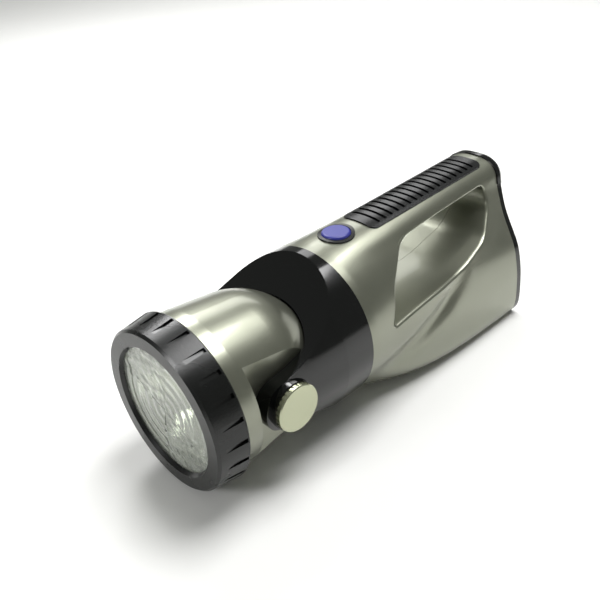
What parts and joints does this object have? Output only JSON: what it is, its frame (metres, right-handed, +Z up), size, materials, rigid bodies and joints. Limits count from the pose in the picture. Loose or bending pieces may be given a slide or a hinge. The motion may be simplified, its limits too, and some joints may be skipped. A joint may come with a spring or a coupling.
{
  "type": "hand crank flashlight",
  "caption": "Lantern-shaped hand crank flashlight with a swivelling round head, a yoke collar, a handled body and a folding crank in its rear cover.",
  "frame": {"origin": "middle of the bounding box on the surface it stands on", "axes": "-Y is the way the lens faces, +Z up through the handle, +X to the torch's left as its user holds it"},
  "size_m": [0.1028, 0.2756, 0.1041],
  "materials": {
    "silver_plastic": "metallic silver paint on plastic, satin",
    "gloss_black": "gloss",
    "soft_black": "satin",
    "grip_rubber": "matte",
    "button_ring": "gloss",
    "blue_button": "satin",
    "dark_plastic": "matte",
    "spring_steel": "bright",
    "screw_steel": "bright",
    "cell_wrap": "gloss",
    "nickel": "bright",
    "circuit_board": "satin",
    "components": "satin",
    "bronze": "satin",
    "plate_steel": "satin",
    "white_plastic": "satin",
    "copper": "satin",
    "clear_lens": "clear moulded plastic",
    "mirror_bright": "bright",
    "lamp_dome": "gloss",
    "aluminium": "satin",
    "silver_disc": "metallic, gloss",
    "magnet": "matte"
  },
  "bodies": {
    "body": {"body_shell_left": "silver_plastic", "body_shell_right": "silver_plastic", "yoke_collar": "gloss_black", "case_screws": "screw_steel", "grip_pad": "grip_rubber", "switch_ring": "button_ring", "switch_body": "dark_plastic", "button_spring": "spring_steel", "battery_cells": "cell_wrap", "battery_cradle": "dark_plastic", "battery_contacts": "nickel", "main_board": "circuit_board", "board_components": "components", "board_screws": "screw_steel", "rear_cover": "gloss_black", "handle_end_cap": "gloss_black", "cover_screws": "screw_steel", "shaft_bush": "bronze", "gear_plate": "plate_steel", "gear_pins": "spring_steel", "plate_screws": "screw_steel", "generator_case": "plate_steel", "generator_lid": "white_plastic", "generator_coils": "copper"},
    "head": {"head_shell": "silver_plastic", "bezel_ring": "soft_black", "front_lens": "clear_lens", "lens_gasket": "grip_rubber", "reflector": "mirror_bright", "led_board": "circuit_board", "led_lamp": "lamp_dome", "heat_sink": "aluminium", "pivot_sleeve_left": "dark_plastic", "pivot_sleeve_right": "dark_plastic", "friction_washer_left": "grip_rubber", "friction_washer_right": "grip_rubber", "pivot_cap_left": "silver_disc", "pivot_cap_right": "silver_disc"},
    "button": {"switch_button": "blue_button"},
    "crank": {"crank_shaft": "spring_steel", "crank_gear": "white_plastic", "crank_arm": "gloss_black", "crank_screw": "screw_steel", "knob_hinge_pin": "spring_steel"},
    "knob": {"knob_post": "gloss_black"},
    "sleeve": {"knob_sleeve": "soft_black"},
    "first_gear": {"first_gear": "white_plastic"},
    "second_gear": {"second_gear": "white_plastic"},
    "rotor": {"rotor_shaft": "spring_steel", "rotor_magnet": "magnet", "rotor_pinion": "bronze"}
  },
  "joints": [
    {"name": "head_tilt", "type": "hinge", "parent": "body", "child": "head", "pos_m": [0, -0.0885, 0.0495], "axis": [1, 0, 0], "range_deg": [-60, 60]},
    {"name": "button_press", "type": "slide", "parent": "body", "child": "button", "axis": [0, 0, -1], "range_m": [0, 0.002], "stiffness_N_per_m": 600, "springref_m": -0.001, "deforming": ["button_spring"]},
    {"name": "crank_spin", "type": "hinge", "parent": "body", "child": "crank", "pos_m": [0, 0.12166, 0.0385], "axis": [0, 0.9903, -0.1386], "continuous": true},
    {"name": "knob_fold", "type": "hinge", "parent": "crank", "child": "knob", "pos_m": [0, 0.12637, 0.06207], "axis": [1, 0, 0], "range_deg": [0, 90]},
    {"name": "knob_spin", "type": "hinge", "parent": "knob", "child": "sleeve", "pos_m": [0, 0.12443, 0.04821], "axis": [0, 0.1386, 0.9903], "continuous": true},
    {"name": "first_gear_spin", "type": "hinge", "parent": "body", "child": "first_gear", "pos_m": [0.02396, 0.10889, 0.03381], "axis": [0, 0.9903, -0.1386], "continuous": true},
    {"name": "second_gear_spin", "type": "hinge", "parent": "body", "child": "second_gear", "pos_m": [0.00802, 0.10109, 0.0214], "axis": [0, 0.9903, -0.1386], "continuous": true},
    {"name": "rotor_spin", "type": "hinge", "parent": "body", "child": "rotor", "pos_m": [-0.01246, 0.09366, 0.01879], "axis": [0, 0.9903, -0.1386], "continuous": true}
  ],
  "couplings": [
    {"joint": "crank_spin", "follows": "rotor_spin", "ratio": -0.0216},
    {"joint": "first_gear_spin", "follows": "rotor_spin", "ratio": 0.09},
    {"joint": "second_gear_spin", "follows": "rotor_spin", "ratio": -0.3}
  ]
}
